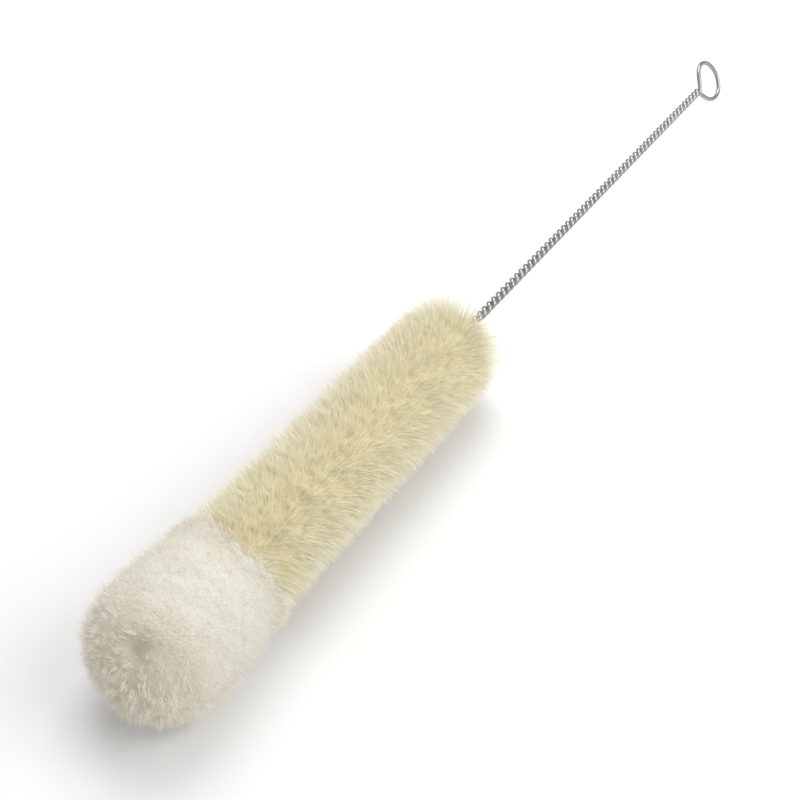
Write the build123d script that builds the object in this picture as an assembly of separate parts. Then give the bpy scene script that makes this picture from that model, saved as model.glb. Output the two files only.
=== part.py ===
from build123d import *
import math
import os

# Bottle brush with a twisted wire stem, a bristle section and a wool tuft over its tip.
# It lies on its side on the floor plane z = 0. The stem runs along X, with the ring at +X.
# All sizes are in millimetres.

# Whole brush
overall_length = 400.0          # tip of the tuft to the far side of the ring
soft_clearance = 0.3            # between a fibre body and what it touches

# Wire: one length, folded at the ring, its two legs twisted left-handed down the whole brush
wire_d = 1.9
strand_gap = 0.04               # between the two strands, where they pinch the fibres
twist_pitch = 6.6               # one full turn of the pair
wire_end_cover = 12.0           # wool in front of the cut ends of the wire

# Hanging ring: round, with two straight legs that leave the twist in a V
ring_outer_d = 18.7
ring_leg_angle = 52.0           # each leg, from the stem's axis
ring_roll = 51.0                # the ring's plane, turned about the stem from lying flat
ring_spans = 8                  # spans of the curve through the round part
leg_bend_share = 0.4            # how far along its leg the wire has turned out of the twist

# Bristle section
bristle_d = 40.0
bristle_length = 123.0
bristle_end_round = 4.0         # fillet of the end where the stem comes out
bristle_press = 0.5             # how far the tips bend back where the brush lies on them

# Wool tuft
tuft_length = 52.0
tuft_d = 46.6                   # at its widest, behind the round nose
tuft_back_d = 41.0              # where it meets the bristles
tuft_nose_length = 21.5         # from the widest place to the tip

# Worked out from the sizes above
axis_height = bristle_d / 2 - bristle_press
tip_x = -overall_length / 2
bristle_x = tip_x + tuft_length
ring_r = (ring_outer_d - wire_d) / 2
ring_turn = 90 + ring_leg_angle
ring_reach = ring_r / math.sin(math.radians(ring_leg_angle))
root_x = overall_length / 2 - wire_d / 2 - ring_r - ring_reach
wire_end_x = tip_x + wire_end_cover
strand_r = (wire_d + strand_gap) / 2
bore_r = strand_r + wire_d / 2 + soft_clearance


def strand_line():
    """Centre line of one strand, from the ring's root along +Z, starting on the +X side."""
    return Helix(twist_pitch, root_x - wire_end_x, strand_r, lefthand=True)


def ring_point(turn):
    """A point of the ring's centre line, by its angle from the far side. The wire crosses the
    ring's plane evenly on its way round, because its two ends lie on either side of it."""
    side = strand_r * turn / ring_turn
    angle = math.radians(turn)
    return (side, ring_r * math.sin(angle), -ring_reach - ring_r * math.cos(angle))


def leg_point(side):
    """The point of one leg, on the side 1 or -1, where it is straight again after the twist."""
    end = ring_point(side * ring_turn)
    return (side * strand_r, leg_bend_share * end[1], leg_bend_share * end[2])


def ring_line(first, last):
    """Centre line of the ring, from the root of one strand round to the root of the other."""
    turns = [ring_turn - 2 * ring_turn * step / ring_spans for step in range(ring_spans + 1)]
    points = [first @ 0, leg_point(1)]
    points += [ring_point(turn) for turn in turns]
    points += [leg_point(-1), last @ 0]
    return Spline(points, tangents=[(first % 0) * -1, last % 0])


def twisted_wire():
    """The single wire of the brush: up one strand, round the ring and down the other."""
    first = strand_line()
    last = first.rotate(Axis.Z, 180)
    lengths = []
    for line in (first, ring_line(first, last), last):
        section = Plane(origin=line @ 0, z_dir=line % 0) * Circle(wire_d / 2)
        lengths.append(sweep(section, path=line, is_frenet=True))
    wire = lengths[0] + lengths[1] + lengths[2]
    roll = math.radians(ring_roll)
    place = Plane(
        origin=(root_x, 0, axis_height),
        x_dir=(0, -math.sin(roll), math.cos(roll)),
        z_dir=(-1, 0, 0),
    )
    return Location(place) * wire


def laid_down(body):
    """A fibre body lifted to the stem's axis and pressed flat where it lies on the floor."""
    room = 2 * overall_length
    return Pos(0, 0, axis_height) * body & Pos(0, 0, room / 2) * Box(room, room, room)


def bristles():
    """The bristle section as one body: the round of its tips, with a bore for the stem."""
    length = bristle_length - soft_clearance
    on_end = (Align.CENTER, Align.CENTER, Align.MIN)
    fill = Cylinder(bristle_d / 2, length, align=on_end)
    fill = fillet(fill.edges().sort_by(Axis.Z)[-1], bristle_end_round)
    fill -= Cylinder(bore_r, length, align=on_end)
    return laid_down(Pos(bristle_x + soft_clearance, 0, 0) * Rot(0, 90, 0) * fill)


def wool_tuft():
    """The tuft as one body: barrel, round nose, and a blind bore over the wire's ends."""
    wide_x = tip_x + tuft_nose_length
    bore_end_x = wire_end_x - wire_d / 2 - soft_clearance
    nose = EllipticalCenterArc(
        (wide_x, 0), tuft_nose_length, tuft_d / 2, start_angle=90, arc_size=90
    )
    barrel = TangentArc((wide_x, tuft_d / 2), (bristle_x, tuft_back_d / 2), tangent=(1, 0))
    back = Polyline(
        (bristle_x, tuft_back_d / 2),
        (bristle_x, bore_r),
        (bore_end_x, bore_r),
        (bore_end_x, 0),
        (tip_x, 0),
    )
    return laid_down(revolve(make_face([nose, barrel, back]), Axis.X))


os.makedirs("parts", exist_ok=True)
export_step(twisted_wire(), "parts/twisted_wire.step")
export_step(bristles(), "parts/bristles.step")
export_step(wool_tuft(), "parts/wool_tuft.step")
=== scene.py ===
import bpy
import math
import numpy as np
from mathutils import Matrix, Vector
from mathutils.kdtree import KDTree


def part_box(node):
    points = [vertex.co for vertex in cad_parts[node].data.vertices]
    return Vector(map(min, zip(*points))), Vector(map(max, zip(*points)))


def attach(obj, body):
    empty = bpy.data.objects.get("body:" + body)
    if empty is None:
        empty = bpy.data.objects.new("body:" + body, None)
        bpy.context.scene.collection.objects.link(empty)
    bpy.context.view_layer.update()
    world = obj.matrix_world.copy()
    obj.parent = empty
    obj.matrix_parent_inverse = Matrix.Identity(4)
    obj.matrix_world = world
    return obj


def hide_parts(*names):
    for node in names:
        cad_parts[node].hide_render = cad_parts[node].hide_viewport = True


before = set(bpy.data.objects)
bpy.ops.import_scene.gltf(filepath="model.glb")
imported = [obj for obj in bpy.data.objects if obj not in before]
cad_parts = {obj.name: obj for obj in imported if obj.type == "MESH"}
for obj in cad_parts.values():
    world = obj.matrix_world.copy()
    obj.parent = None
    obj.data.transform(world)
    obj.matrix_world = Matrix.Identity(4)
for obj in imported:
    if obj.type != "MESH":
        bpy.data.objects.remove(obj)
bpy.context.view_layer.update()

# ---------------------------------------------------------------------------------------
# Twisted wire. One length of galvanised steel wire is folded round the hanging ring, and its
# two legs are twisted together left-handed down the whole brush. It carries everything else.

wire_low, wire_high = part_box("twisted_wire")
axis_z = (wire_low.z + wire_high.z) / 2
wire_r = 0.00095
strand_r = 0.00097
twist_pitch = 0.0066
ring_r = 0.0084
ring_leg = math.radians(52)
ring_roll = math.radians(51)
ring_reach = ring_r / math.sin(ring_leg)
root_x = wire_high.x - wire_r - ring_r - ring_reach
twist_slope = math.atan(2 * math.pi * strand_r / twist_pitch)
twist_length = root_x - wire_low.x - wire_r * math.sin(twist_slope)


def strand(steps_per_turn=26):
    """Centre line of one strand, as (across, sideways, back from the ring's root)."""
    steps = int(twist_length / twist_pitch * steps_per_turn)
    back = np.linspace(0, twist_length, steps)
    turn = -2 * np.pi * back / twist_pitch
    return np.stack([strand_r * np.cos(turn), strand_r * np.sin(turn), back], axis=1)


def ring_round(steps=90, leg_steps=12):
    """Centre line of the ring with its two straight legs, from one strand's root to the other's."""
    end = math.pi / 2 + ring_leg
    turn = np.linspace(end, -end, steps)
    across = strand_r * turn / end
    round_part = np.stack(
        [across, ring_r * np.sin(turn), -ring_reach - ring_r * np.cos(turn)], axis=1
    )
    leg = np.linspace(0.12, 0.92, leg_steps)[:, None]
    first_leg = round_part[0] * [1, 0, 0] + leg * round_part[0] * [0, 1, 1]
    last_leg = round_part[-1] * [1, 0, 0] + leg[::-1] * round_part[-1] * [0, 1, 1]
    return np.concatenate([first_leg, round_part, last_leg])


def eased(line, passes):
    """The line with its corners softened, as a wire bends."""
    for _ in range(passes):
        middle = (line[:-2] + 2 * line[1:-1] + line[2:]) / 4
        line = np.concatenate([line[:1], middle, line[-1:]])
    return line


def unit(vectors):
    return vectors / np.linalg.norm(vectors, axis=-1, keepdims=True)


def round_wire(line, radius, sides=12):
    """A round bar along a line, with flat cut ends: its points and faces."""
    heading = unit(np.gradient(line, axis=0))
    side = np.empty_like(line)
    side[0] = np.cross(heading[0], [0, 0, 1])
    for k in range(1, len(line)):
        side[k] = side[k - 1] - heading[k] * side[k - 1].dot(heading[k])
    side = unit(side)
    up = np.cross(heading, side)
    angle = 2 * np.pi * np.arange(sides) / sides
    rim = np.cos(angle)[None, :, None] * side[:, None] + np.sin(angle)[None, :, None] * up[:, None]
    points = (line[:, None] + radius * rim).reshape(-1, 3)
    faces = []
    for k in range(len(line) - 1):
        for c in range(sides):
            here, there = k * sides + c, k * sides + (c + 1) % sides
            faces.append((here, there, there + sides, here + sides))
    faces.append(tuple(range(sides))[::-1])
    faces.append(tuple(range(len(points) - sides, len(points))))
    return points, faces


def add_piece(name, points, faces, finish, stands_for, marks=None, smooth=True):
    """A new piece of the brush, riding on its one body. Marks are values stored at its points."""
    mesh = bpy.data.meshes.new(name)
    mesh.from_pydata(points, [], faces)
    if smooth:
        mesh.shade_smooth()
    for mark, values in (marks or {}).items():
        layer = mesh.attributes.new(mark, "FLOAT", "POINT")
        layer.data.foreach_set("value", np.ascontiguousarray(values, dtype=np.float32))
    mesh.materials.append(finish)
    piece = bpy.data.objects.new(name, mesh)
    bpy.context.scene.collection.objects.link(piece)
    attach(piece, "root")
    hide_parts(stands_for)
    return piece


class Field:
    """A value that varies over a surface. Sums on it become Math nodes."""

    def __init__(self, finish, socket):
        self.finish = finish
        self.socket = socket

    def maths(self, operation, first, second):
        return self.finish.node("ShaderNodeMath", {"operation": operation}, {0: first, 1: second})

    def __add__(self, other):
        return self.maths("ADD", self, other)

    def __radd__(self, other):
        return self.maths("ADD", other, self)

    def __rmul__(self, other):
        return self.maths("MULTIPLY", other, self)


class Finish:
    """One material of the brush, as a Principled surface and the nodes that vary it."""

    def __init__(self, name, roughness, metallic=0.0, specular=0.5):
        self.material = bpy.data.materials.new(name)
        self.material.use_nodes = True
        self.tree = self.material.node_tree
        self.surface = self.tree.nodes["Principled BSDF"]
        self.surface.inputs["Roughness"].default_value = roughness
        self.surface.inputs["Metallic"].default_value = metallic
        self.surface.inputs["Specular IOR Level"].default_value = specular

    def node(self, kind, settings, inputs, output=0):
        """Any node: its type, its settings, the values or links of its sockets, its output."""
        made = self.tree.nodes.new(kind)
        for name, value in settings.items():
            setattr(made, name, value)
        for name, value in inputs.items():
            if isinstance(value, Field):
                self.tree.links.new(value.socket, made.inputs[name])
            else:
                made.inputs[name].default_value = value
        return Field(self, made.outputs[output])

    def mark(self, name):
        """A value that the mesh stores at its points."""
        return self.node("ShaderNodeAttribute", {"attribute_name": name}, {}, "Fac")

    def place(self, stretch=(1, 1, 1)):
        """Where a point is on the brush, in metres, with each direction stretched."""
        spot = self.node("ShaderNodeTexCoord", {}, {}, "Object")
        scaled = {"operation": "MULTIPLY"}
        return self.node("ShaderNodeVectorMath", scaled, {0: spot, 1: stretch})

    def noise(self, per_metre, detail=3.0, stretch=(1, 1, 1)):
        """Cloudy noise of a given fineness, from about 0 to 1."""
        sockets = {"Vector": self.place(stretch), "Scale": per_metre, "Detail": detail}
        return self.node("ShaderNodeTexNoise", {}, sockets, "Fac")

    def blend(self, share, first, second):
        """A colour between two others."""
        sockets = {0: share, 6: first, 7: second}
        return self.node("ShaderNodeMix", {"data_type": "RGBA"}, sockets, 2)

    def feed(self, socket, field):
        """What varies one socket of the surface."""
        self.tree.links.new(field.socket, self.surface.inputs[socket])

    def bump(self, height, depth, strength=1.0):
        """A relief of a given depth, in metres."""
        sockets = {"Height": height, "Distance": depth, "Strength": strength}
        self.feed("Normal", self.node("ShaderNodeBump", {}, sockets))


zinc = Finish("galvanised_wire", roughness=0.3, metallic=1.0)
clouding = zinc.noise(420, 4.0)
drawn = zinc.noise(2600, 2.0, (0.15, 1, 1))
zinc.feed("Base Color", zinc.blend(clouding, (0.28, 0.29, 0.28, 1), (0.46, 0.46, 0.45, 1)))
zinc.feed("Roughness", 0.16 + 0.26 * clouding)
zinc.bump(drawn, 0.00004, 0.5)

# The two strands and the ring make one line, with its corners eased and its ring rolled over.
first_strand = strand()
other_strand = first_strand * [-1, -1, 1]
whole = np.concatenate([first_strand[::-1], ring_round(), other_strand])
whole = eased(whole, 6)
across = np.array([0, -math.sin(ring_roll), math.cos(ring_roll)])
sideways = np.array([0, math.cos(ring_roll), math.sin(ring_roll)])
root = np.array([root_x, 0, axis_z])
whole = root + whole[:, :1] * across + whole[:, 1:2] * sideways - whole[:, 2:] * [1, 0, 0]
wire_points, wire_faces = round_wire(whole, wire_r)
add_piece("wire", wire_points, wire_faces, zinc.material, "twisted_wire")

# ---------------------------------------------------------------------------------------
# Bristles. Cream natural hairs cross between the two strands and are pinched by the twist, so
# they stand out all round the stem. Neighbours cling together, and the lowest bend on the floor.

bristle_low, bristle_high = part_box("bristles")
bristle_r = bristle_high.y
under_wool = 0.003
hair_start = bristle_low.x - under_wool
hair_end = bristle_high.x
hair_count = 51000
hair_r = 0.00009
hair_floor = 0.0002
hair_shares = (0, 0.55, 1)
past_body = 0.0007
short_part = 0.6
bunches_round = 74
ridge_numbers = 67
ridged_side = 0.5
fan_length = 0.008
chance = np.random.default_rng(41)


def ring_of(x, angle, radius):
    """Points round the stem, at places along it, angles from +Y and distances from its axis."""
    return np.stack([x, radius * np.cos(angle), axis_z + radius * np.sin(angle)], axis=1)


def turned(x, angles, radii):
    """A closed round body about the stem, by its radius at each place and angle."""
    columns = len(angles)
    points = ring_of(np.repeat(x, columns), np.tile(angles, len(x)), radii.ravel())
    faces = []
    for k in range(len(x) - 1):
        for c in range(columns):
            here, there = k * columns + c, k * columns + (c + 1) % columns
            faces.append((here, here + columns, there + columns, there))
    faces.append(tuple(range(columns)))
    faces.append(tuple(range(len(points) - columns, len(points)))[::-1])
    return points, faces


def fibres(lines, radii, roll):
    """Three-sided hairs along lines (hair, point, xyz), closed at the root and pointed at the
    tip: their points, their faces and how many points each has."""
    count, steps = lines.shape[:2]
    heading = unit(np.gradient(lines, axis=1))
    side = np.cross(heading[:, 1:2], roll[:, None])
    side = unit(side - heading * (side * heading).sum(-1, keepdims=True))
    up = np.cross(heading, side)
    angle = 2 * np.pi * np.arange(3) / 3
    rim = np.cos(angle)[:, None] * side[:, :, None] + np.sin(angle)[:, None] * up[:, :, None]
    rings = lines[:, :-1, None] + radii[:, :-1, None, None] * rim[:, :-1]
    points = np.concatenate([rings.reshape(count, -1, 3), lines[:, -1:]], axis=1)
    each = points.shape[1]
    faces = [(0, 2, 1)]
    for k in range(steps - 2):
        for c in range(3):
            here, there = 3 * k + c, 3 * k + (c + 1) % 3
            faces += [(here, there, there + 3), (here, there + 3, here + 3)]
    faces += [(each - 4 + c, each - 4 + (c + 1) % 3, each - 1) for c in range(3)]
    faces = (np.array(faces)[None] + each * np.arange(count)[:, None, None]).reshape(-1, 3)
    return points.reshape(-1, 3), faces, each


def curve_through(root, bend, tip, shares):
    """Points at the given shares of smooth curves from roots to tips, drawn towards the bends."""
    shares = np.array(shares)[None, :, None]
    root, bend, tip = root[:, None], bend[:, None], tip[:, None]
    return (1 - shares) ** 2 * root + 2 * shares * (1 - shares) * bend + shares ** 2 * tip


def drift(x, angle, seed):
    """A slow wander over the brush, from about -2 to 2."""
    first = np.sin(240 * x + angle + seed) + np.sin(410 * x - 2 * angle + 2.3 * seed)
    return first + 0.7 * np.sin(150 * x + 3 * angle + 3.7 * seed)


def add_fibres(name, lines, thickness, shares, tone, finish, stands_for):
    """A piece made of many fibres, which taper from their last bend to their tips."""
    radii = thickness[:, None] * np.array([1.0] * (len(shares) - 1) + [0.0])
    points, faces, each = fibres(lines, radii, unit(chance.normal(size=(len(lines), 3))))
    along = np.repeat(shares[:-1], 3).tolist() + [shares[-1]]
    marks = {"tone": np.repeat(tone, each), "along": np.tile(along, len(lines))}
    add_piece(name, points, faces, finish, stands_for, marks, smooth=False)


hair_x = chance.uniform(hair_start, hair_end, hair_count)
hair_angle = chance.uniform(0, 2 * np.pi, hair_count)

# The twist lays the hairs in ridges, half a turn apart, and each ridge parts into bunches. There
# are fewer ridges than ridge numbers, so each bunch has a number of its own.
half_turns = 2 * ((root_x - hair_x) / twist_pitch - (hair_angle - ring_roll - np.pi) / (2 * np.pi))
ridge = np.round(half_turns)
column = np.floor(hair_angle / (2 * np.pi) * bunches_round)
bunch = (ridge % ridge_numbers * bunches_round + column).astype(int)
bunches = ridge_numbers * bunches_round
bunch_angle = (column + 0.5 + chance.normal(0, 0.3, bunches)[bunch]) / bunches_round * 2 * np.pi
bunch_turns = (ridge + chance.normal(0, 0.07, bunches)[bunch]) / 2
bunch_x = root_x - twist_pitch * (bunch_turns + (bunch_angle - ring_roll - np.pi) / (2 * np.pi))

# How far each tip has gathered to its ridge and its bunch. The ridges are crisper on one side,
# and the shorter hairs between them stand straighter.
to_ridge = 0.5 + 0.4 * np.cos(hair_angle - ridged_side)
to_ridge = to_ridge + chance.uniform(-0.12, 0.08, bunches)[bunch]
to_bunch = chance.uniform(0.15, 0.5, bunches)[bunch]
short = chance.random(hair_count) < short_part
to_ridge = np.where(short, 0.3 * to_ridge, to_ridge)
lean_x = chance.normal(0, 0.0002, bunches)[bunch] + chance.normal(0, 0.00025, hair_count)
lean_x = np.where(short, lean_x, 0.5 * lean_x)
lean_angle = 0.012 * drift(hair_x, hair_angle, 5) + chance.normal(0, 0.01, hair_count)
hair_tip_x = hair_x + to_ridge * (bunch_x - hair_x) + lean_x
tip_angle = hair_angle + to_bunch * (bunch_angle - hair_angle) + lean_angle
tip_r = bristle_r + past_body + chance.normal(0, 0.0005, bunches)[bunch]
tip_r = tip_r + chance.normal(0, 0.0003, hair_count)
tip_r = tip_r - short * chance.uniform(0.0008, 0.0036, hair_count)
stray = chance.random(hair_count) < 0.01
tip_r = tip_r + stray * chance.uniform(0, 0.0014, hair_count)

# Nothing holds the last hairs from beyond, so they fan out towards the handle, and get shorter.
fan = np.clip(1 - (hair_end - hair_x) / fan_length, 0, 1)
hair_tip_x = hair_tip_x + 0.0024 * fan ** 2
loose = (chance.random(hair_count) < 0.08) & (fan > 0.4)
hair_tip_x = hair_tip_x + loose * chance.uniform(0.001, 0.006, hair_count)
tip_r = tip_r - (0.0014 + 0.0012 * (1 - np.cos(hair_angle - ridged_side))) * fan ** 3

# Each hair is one curve. Where the heart hides its inner part, it starts just below the
# heart's surface. The last hairs start inside the twist.
heart_r = 0.015
root_r = np.where(fan > 0, 0.0012, heart_r - 0.002)
root_lean = (root_r / bristle_r) ** 2
bend_lean = 0.4
hair_root = ring_of(hair_x + root_lean * lean_x, hair_angle + root_lean * lean_angle, root_r)
bend_r = root_r + 0.55 * (tip_r - root_r)
hair_bend = ring_of(hair_x + bend_lean * lean_x, hair_angle + bend_lean * lean_angle, bend_r)
hair_tip = ring_of(hair_tip_x, tip_angle, tip_r)
hair_lines = curve_through(hair_root, hair_bend, hair_tip, hair_shares)
hair_lines[..., 2] = np.maximum(hair_lines[..., 2], hair_floor)
thickness = hair_r * chance.uniform(0.7, 1.25, hair_count)

hair = Finish("cream_bristle", roughness=0.45, specular=0.3)
tone = hair.mark("tone")
along = hair.mark("along")
inner = hair.blend(tone, (0.99, 0.91, 0.64, 1), (1.0, 0.95, 0.74, 1))
outer = hair.blend(tone, (1.0, 0.96, 0.81, 1), (1.0, 0.99, 0.90, 1))
hair.feed("Base Color", hair.blend(along, inner, outer))

hair_tone = chance.normal(0.5, 0.2, hair_count) + 0.1 * chance.normal(size=bunches)[bunch]
hair_tone = np.clip(hair_tone, 0, 1)
for name, group in zip(("front", "middle", "back"), np.array_split(np.argsort(hair_x), 3)):
    add_fibres(
        "bristles_" + name, hair_lines[group], thickness[group], hair_shares,
        hair_tone[group], hair.material, "bristles",
    )

# Near the stem the hairs are packed too close to tell apart. The heart is the round of them, with
# a rounded end towards the handle.
packed = Finish("packed_bristle", roughness=0.7, specular=0.2)
grain = packed.noise(2600, 2.0)
streak = packed.noise(900, 3.0, (1, 0.5, 0.5))
mottle = 0.5 * grain + 0.5 * streak
packed.feed("Base Color", packed.blend(mottle, (0.87, 0.78, 0.53, 1), (0.96, 0.89, 0.68, 1)))
packed.bump(grain, 0.0003)

heart_rows = 60
heart_columns = 72
heart_rounding = 0.009
heart_end_r = 0.002
heart_x = np.linspace(hair_start, hair_end - 0.0035, heart_rows)
to_end = np.clip((heart_x[-1] - heart_x) / heart_rounding, 0, 1)
heart_angles = 2 * np.pi * np.arange(heart_columns) / heart_columns
heart_radii = heart_end_r + (heart_r - heart_end_r) * np.sqrt(1 - (1 - to_end) ** 2)
heart_radii = heart_radii[:, None] * np.ones((1, heart_columns))
points, faces = turned(heart_x, heart_angles, heart_radii)
add_piece("bristles_heart", points, faces, packed.material, "bristles")

# ---------------------------------------------------------------------------------------
# Wool tuft. Off-white fleece pinched by the last turns of the wire and spread forward over its
# cut ends. Its fibres fan out from the wire, and it is pressed flat where it lies on the floor.

wool_low, wool_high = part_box("wool_tuft")
fuzz = 0.0011
wool_r = wool_high.y - fuzz
back_r = 0.021 - fuzz / 2
nose_length = 0.0215 - fuzz
nose_fullness = 0.92
nose_sweep = 0.0024
lying_height = 0.012
wide_x = wool_low.x + fuzz + nose_length
wool_start = wool_low.x + 0.015
wool_end = wool_high.x - 0.003


def outline(steps=400):
    """The tuft's outline from its tip back to the bristles, as places and radii. It has a
    slight waist just ahead of the bristles."""
    turn = np.linspace(0, np.pi / 2, steps // 2)
    nose = np.stack([wide_x - nose_length * np.cos(turn), wool_r * np.sin(turn) ** nose_fullness], axis=1)
    back = np.linspace(wide_x, wool_high.x, steps // 2)[1:]
    drop = ((back - wide_x) / (wool_high.x - wide_x)) ** 2
    waist = 0.0005 * np.exp(-((back - wool_high.x + 0.008) / 0.004) ** 2)
    barrel = np.stack([back, wool_r - (wool_r - back_r) * drop - waist], axis=1)
    return np.concatenate([nose, barrel])


# How far along the outline each of its points is, and how much of the fleece lies ahead of it.
# The fleece is thicker in the last few millimetres, where it meets the bristles.
profile = outline()
step = np.linalg.norm(np.diff(profile, axis=0), axis=1)
travelled = np.concatenate([[0], np.cumsum(step)])
travelled /= travelled[-1]
crowd = 1 + 2 * np.clip((profile[1:, 0] - wool_high.x + 0.006) / 0.003, 0, 1)
area = np.concatenate([[0], np.cumsum(step * (profile[1:, 1] + profile[:-1, 1]) * crowd)])
area /= area[-1]


def on_tuft(share, angle):
    """Points on the tuft, by share of the way from its tip to its back, and angle, with the
    direction that the fleece grows in there, away from the wire."""
    x = np.interp(share, travelled, profile[:, 0])
    radius = np.interp(share, travelled, profile[:, 1])
    ragged = np.sin(2 * angle + 0.7) + 0.8 * np.sin(5 * angle + 2) + 0.5 * np.sin(11 * angle)
    ragged = ragged + 0.5 * np.sin(17 * angle + 1) + 0.4 * np.sin(29 * angle + 3)
    x = x + 0.0008 * (ragged - 0.6) * np.clip((share - 0.8) / 0.2, 0, 1)
    top = ring_of(x, angle, radius)
    source = np.zeros_like(top)
    source[:, 0] = wool_start + (wool_end - wool_start) * share ** 2
    source[:, 2] = axis_z
    return top, unit(top - source)


def settled(points):
    """Wool that lies on the floor: pressed flat below, bulging a little at the sides, and with
    a nose that has been combed over to one side."""
    low = np.clip((lying_height - points[..., 2]) / lying_height, 0, 1)
    ahead = np.clip((wide_x - points[..., 0]) / nose_length, 0, 1)
    points = points.copy()
    points[..., 1] -= nose_sweep * ahead ** 4
    points[..., 1] *= 1 + 0.02 * low
    points[..., 2] = np.maximum(points[..., 2], hair_floor)
    return points


wool = Finish("off_white_wool", roughness=0.85, specular=0.1)
wool_tone = wool.mark("tone")
wool_along = wool.mark("along")
# Each fibre is darker towards its root, which is painted shade deep in the fleece between the fibres.
# Towards its tip it has the wool's own colour.
shaded_root = wool.blend(wool_tone, (0.80, 0.74, 0.62, 1), (0.89, 0.85, 0.76, 1))
fresh = wool.blend(wool_tone, (0.88, 0.85, 0.76, 1), (0.94, 0.92, 0.85, 1))
wool.feed("Base Color", wool.blend(wool_along, shaded_root, fresh))

# The body of the fleece, under its loose fibres. It lies deeper at the nose, deepest of all at the
# parting over the wire's end, and its back edge turns in a little. Its colours are painted shade:
# darker than the fibres all over, and darker still on the nose and most of all at the parting.
rows = 130
columns = 150
row_share = np.linspace(0, 1, rows)
round_angles = 2 * np.pi * np.arange(columns) / columns
body_share, body_angle = np.meshgrid(row_share, round_angles, indexing="ij")
body_share, body_angle = body_share.ravel(), body_angle.ravel()
top, heading = on_tuft(body_share, body_angle)
parting_x = np.array([wool_low.x + 0.0085])
parting_angle = np.array([math.radians(106)])
parting_r = np.array([0.0185])
parting = ring_of(parting_x, parting_angle, parting_r)
parting_reach = 0.016
from_parting = np.linalg.norm(top - parting, axis=1)
fore = np.clip((0.62 - body_share) / 0.25, 0, 1)
fore = fore * (0.35 + 0.65 * np.exp(-(from_parting / parting_reach) ** 2))
lumps = drift(top[:, 0] * 2, 3 * body_angle, 2) / 2
tucked = np.clip((body_share - 0.97) / 0.03, 0, 1)
body_depth = 0.0005 + 0.0018 * fore + 0.0002 * lumps + 0.0008 * tucked ** 2
body_depth = body_depth + 0.0022 * np.exp(-(from_parting / 0.0035) ** 2)
body_points = settled(top - heading * body_depth[:, None])
body_faces = turned(np.zeros(rows), round_angles, np.zeros((rows, columns)))[1]
# Here the along mark sets how much painted shade the body gets. It is lowest at the parting, low over the
# rest of the nose, and 1 behind the nose, where only the overall painted shade is left.
body_marks = {"tone": 0.5 + 0.2 * lumps, "along": 1 - 0.6 * fore}
fleece = Finish("wool_body", roughness=0.9, specular=0.05)
body_tone = fleece.mark("tone")
body_shade = fleece.blend(body_tone, (0.54, 0.46, 0.33, 1), (0.70, 0.63, 0.50, 1))
body_fresh = fleece.blend(body_tone, (0.70, 0.67, 0.58, 1), (0.75, 0.73, 0.65, 1))
fleece.feed("Base Color", fleece.blend(fleece.mark("along"), body_shade, body_fresh))
fleece.bump(fleece.noise(1500, 4.0), 0.0004)
add_piece("wool_body", body_points, body_faces, fleece.material, "wool_tuft", body_marks)

# Loose fibres. On the nose they cling in locks, each to its own side, and part above the wire's
# end. At the back they reach a little over the first bristles.
strand_count = 33000
lock_count = 1500
strand_share = np.interp(chance.random(strand_count), area, travelled)
strand_angle = chance.uniform(0, 2 * np.pi, strand_count)
lock_share = np.interp(chance.random(lock_count), area, travelled)
lock_angle = chance.uniform(0, 2 * np.pi, lock_count)
root_top, root_heading = on_tuft(strand_share, strand_angle)
lock_top, lock_heading = on_tuft(lock_share, lock_angle)
finder = KDTree(lock_count)
for number, place in enumerate(lock_top):
    finder.insert(place, number)
finder.balance()
lock = np.array([finder.find(place)[1] for place in root_top])

from_parting = np.linalg.norm(root_top - parting, axis=1, keepdims=True)
fore = np.clip((0.6 - strand_share) / 0.22, 0, 1)[:, None]
fore = fore * (0.3 + 0.7 * np.exp(-(from_parting / parting_reach) ** 2))
swept = unit(root_top - parting) * 0.0012 * fore
swept = swept + 0.0011 * fore * chance.normal(size=(lock_count, 3))[lock]
cling = 0.1 + 0.5 * fore
lift = chance.normal(0, 0.00022, strand_count)[:, None]
lift = lift + fore * chance.normal(-0.0001, 0.0008, lock_count)[lock][:, None]
lift = lift - 0.0025 * np.exp(-(from_parting / 0.0025) ** 2)
spread = chance.normal(size=(strand_count, 3)) * (0.0011 - 0.0008 * fore)
at_back = np.clip((strand_share - 0.9) / 0.1, 0, 1)
spread[:, 0] += at_back * np.abs(chance.normal(0, 0.001, strand_count))
strand_tip = root_top + cling * (lock_top[lock] - root_top) + root_heading * lift + swept + spread
strand_root = root_top - root_heading * (0.002 + 0.003 * fore)
strand_bend = 0.45 * strand_root + 0.55 * (strand_tip - swept)
strand_bend = strand_bend + chance.normal(size=(strand_count, 3)) * 0.0005
strand_shares = (0, 0.6, 1)
strand_lines = settled(curve_through(strand_root, strand_bend, strand_tip, strand_shares))
fleece_r = chance.uniform(0.000035, 0.00006, strand_count)
strand_tone = chance.normal(0.5, 0.2, strand_count) + 0.25 * chance.normal(size=lock_count)[lock]
strand_tone = np.clip(strand_tone, 0, 1)
for name, group in zip(("nose", "barrel"), np.array_split(np.argsort(strand_share), 2)):
    add_fibres(
        "wool_fleece_" + name, strand_lines[group], fleece_r[group], strand_shares,
        strand_tone[group], wool.material, "wool_tuft",
    )

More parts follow.
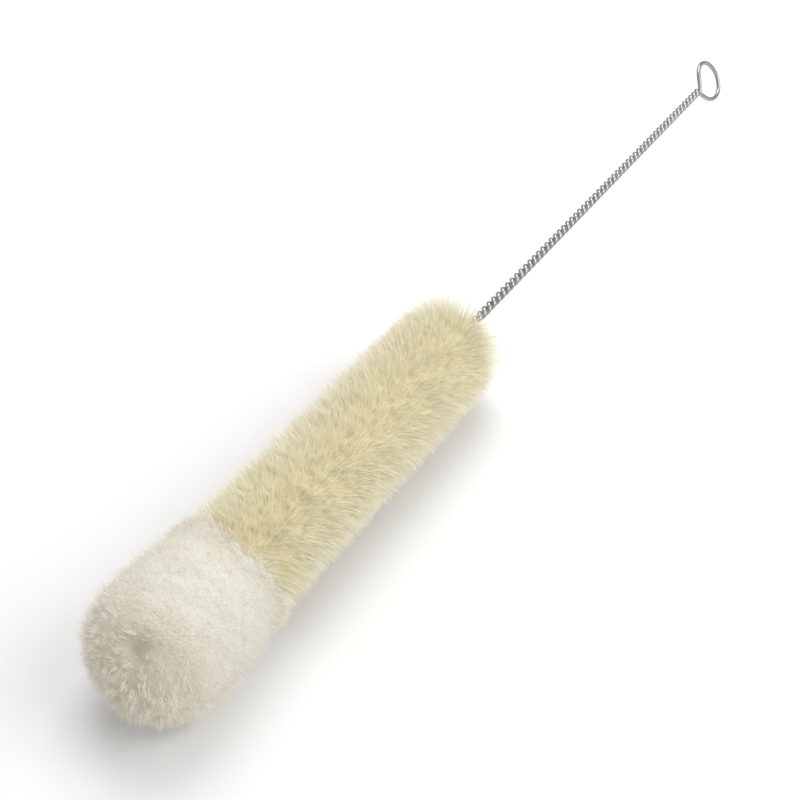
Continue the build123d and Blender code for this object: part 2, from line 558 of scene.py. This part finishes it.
# ---------------------------------------------------------------------------------------
# Studio. A plain pale table top under two wide soft lamps and an even white sky, with the camera
# above the tuft's end.

floor_mesh = bpy.data.meshes.new("floor")
reach = 6.0
corners = [(-reach, -reach, 0), (reach, -reach, 0), (reach, reach, 0), (-reach, reach, 0)]
floor_mesh.from_pydata(corners, [], [(0, 1, 2, 3)])
floor = bpy.data.objects.new("floor", floor_mesh)
bpy.context.scene.collection.objects.link(floor)
paper = Finish("pale_table", roughness=0.9, specular=0.0)
paper.surface.inputs["Base Color"].default_value = (0.88, 0.88, 0.88, 1)
floor_mesh.materials.append(paper.material)

world = bpy.data.worlds.new("studio")
world.use_nodes = True
world.node_tree.nodes["Background"].inputs["Color"].default_value = (1, 1, 1, 1)
world.node_tree.nodes["Background"].inputs["Strength"].default_value = 0.58
bpy.context.scene.world = world


def soft_lamp(name, place, aim, size, watts):
    """A large square lamp pointed at a place on the brush."""
    lamp = bpy.data.lights.new(name, "AREA")
    lamp.shape = "SQUARE"
    lamp.size = size
    lamp.energy = watts
    holder = bpy.data.objects.new(name, lamp)
    holder.location = place
    holder.rotation_euler = (Vector(aim) - Vector(place)).to_track_quat("-Z", "Y").to_euler()
    bpy.context.scene.collection.objects.link(holder)


soft_lamp("key", (0.5, 0.35, 1.1), (-0.05, 0, 0), 0.9, 8.5)
soft_lamp("fill", (0.3, -0.8, 0.8), (-0.08, 0, 0), 0.8, 6.5)

camera_data = bpy.data.cameras.new("camera")
camera_data.lens = 52.65
camera_data.sensor_width = 36
camera = bpy.data.objects.new("camera", camera_data)
right = Vector((0.5625, -0.8268, -0.0068))
away = Vector((0.5859, 0.4071, -0.7007)).normalized()
right = (right - right.dot(away) * away).normalized()
up = right.cross(away)
camera.matrix_world = Matrix((
    (right.x, up.x, -away.x, -0.2911),
    (right.y, up.y, -away.y, -0.1597),
    (right.z, up.z, -away.z, 0.2937),
    (0, 0, 0, 1),
))
bpy.context.scene.collection.objects.link(camera)
bpy.context.scene.camera = camera
bpy.context.scene.view_settings.view_transform = "Standard"
